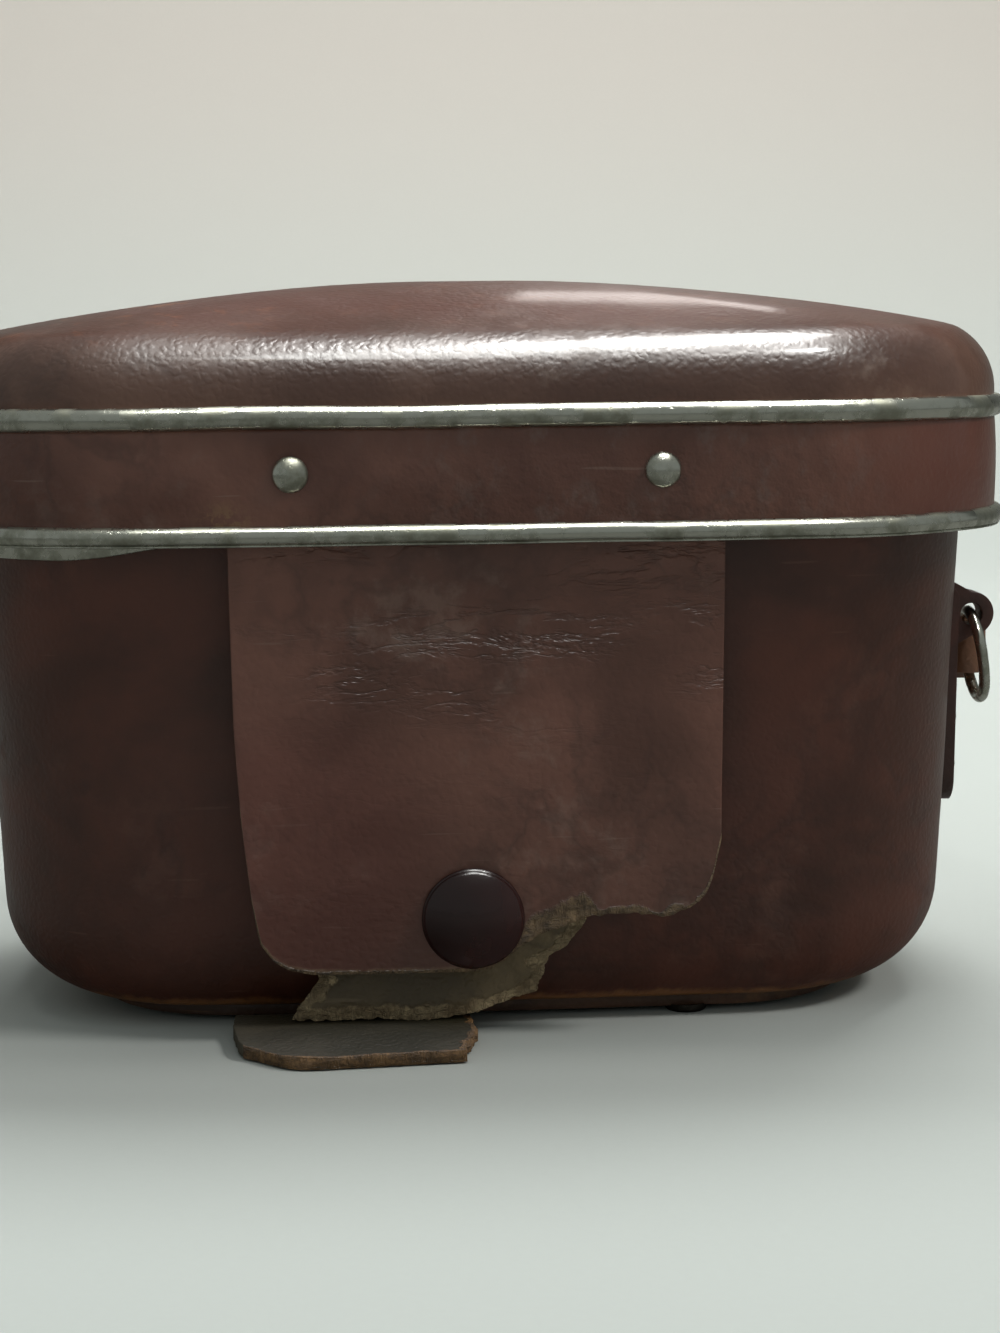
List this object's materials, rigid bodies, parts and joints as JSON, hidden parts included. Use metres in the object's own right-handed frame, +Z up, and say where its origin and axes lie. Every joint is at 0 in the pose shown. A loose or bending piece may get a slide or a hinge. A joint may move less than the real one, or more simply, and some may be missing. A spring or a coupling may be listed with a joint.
{
  "type": "camera case",
  "caption": "Moulded leather camera case with a hinged lid, nickel beads, a front flap on a press stud, side rings and a neck strap",
  "frame": {"origin": "Middle of the space that the case covers on the table, on the plane under its feet.", "axes": "+X to the case's right as seen from the front, -Y towards the front with the flap, +Z up."},
  "size_m": [0.1484, 0.198, 0.0938],
  "materials": {
    "case_leather": "dark red-brown grained leather, glossy with wear",
    "raw_leather": "flesh side of torn leather, rough, with tan edges",
    "lining": "short velvet pile",
    "nickel": "old nickel plate, bright with dull patches",
    "steel": "pressed steel",
    "cap_lacquer": "dark brown gloss lacquer on a metal cap",
    "strap_leather": "brown strap leather with lighter edges"
  },
  "bodies": {
    "root": {"body_shell": "case_leather", "body_rim": "nickel", "body_lining": "lining", "floor_pad": "lining", "sole_panel": "case_leather", "base_feet": "steel", "screw_bush": "nickel", "lug_left": "case_leather", "lug_right": "case_leather", "lug_rivets": "nickel", "inner_tongue": "raw_leather", "stud_post": "nickel", "stud_backing": "steel", "base_tab": "raw_leather", "hinge_leaf_body": "steel", "hinge_pin": "steel", "hinge_rivets_body": "steel", "strap_right": "strap_leather", "strap_coil": "strap_leather", "strap_left": "strap_leather"},
    "lid": {"lid_dome": "case_leather", "lid_lining": "lining", "lid_band": "case_leather", "upper_bead": "nickel", "lower_bead": "nickel", "lid_frame": "steel", "flap_anchor": "case_leather", "flap_rivets": "nickel", "flap_rivet_washers": "steel", "hinge_leaf_lid": "steel", "hinge_rivets_lid": "steel"},
    "flap": {"flap": "case_leather", "snap_cap": "cap_lacquer", "snap_socket": "steel"},
    "camera_screw": {"camera_screw": "nickel"},
    "ring_right": {"ring_right": "nickel", "strap_end_right": "strap_leather", "strap_rivet_right": "nickel"},
    "ring_left": {"ring_left": "nickel", "strap_end_left": "strap_leather", "strap_rivet_left": "nickel"}
  },
  "joints": [
    {"name": "lid_hinge", "type": "hinge", "parent": "root", "child": "lid", "pos_m": [0, 0.04545, 0.0595], "axis": [-1, 0, 0], "range_deg": [0, 100]},
    {"name": "flap_hinge", "type": "hinge", "parent": "lid", "child": "flap", "pos_m": [0, -0.0337, 0.0601], "axis": [-1, 0, 0], "range_deg": [0, 90]},
    {"name": "ring_right_swing", "type": "hinge", "parent": "root", "child": "ring_right", "pos_m": [0.06848, 0.0025, 0.0482], "axis": [0, -1, 0], "range_deg": [0, 80]},
    {"name": "ring_left_swing", "type": "hinge", "parent": "root", "child": "ring_left", "pos_m": [-0.06848, 0.0025, 0.0482], "axis": [0, 1, 0], "range_deg": [0, 80]},
    {"name": "camera_screw_turn", "type": "hinge", "parent": "root", "child": "camera_screw", "pos_m": [0, 0.0055, 0.002], "axis": [0, 0, 1], "continuous": true}
  ]
}
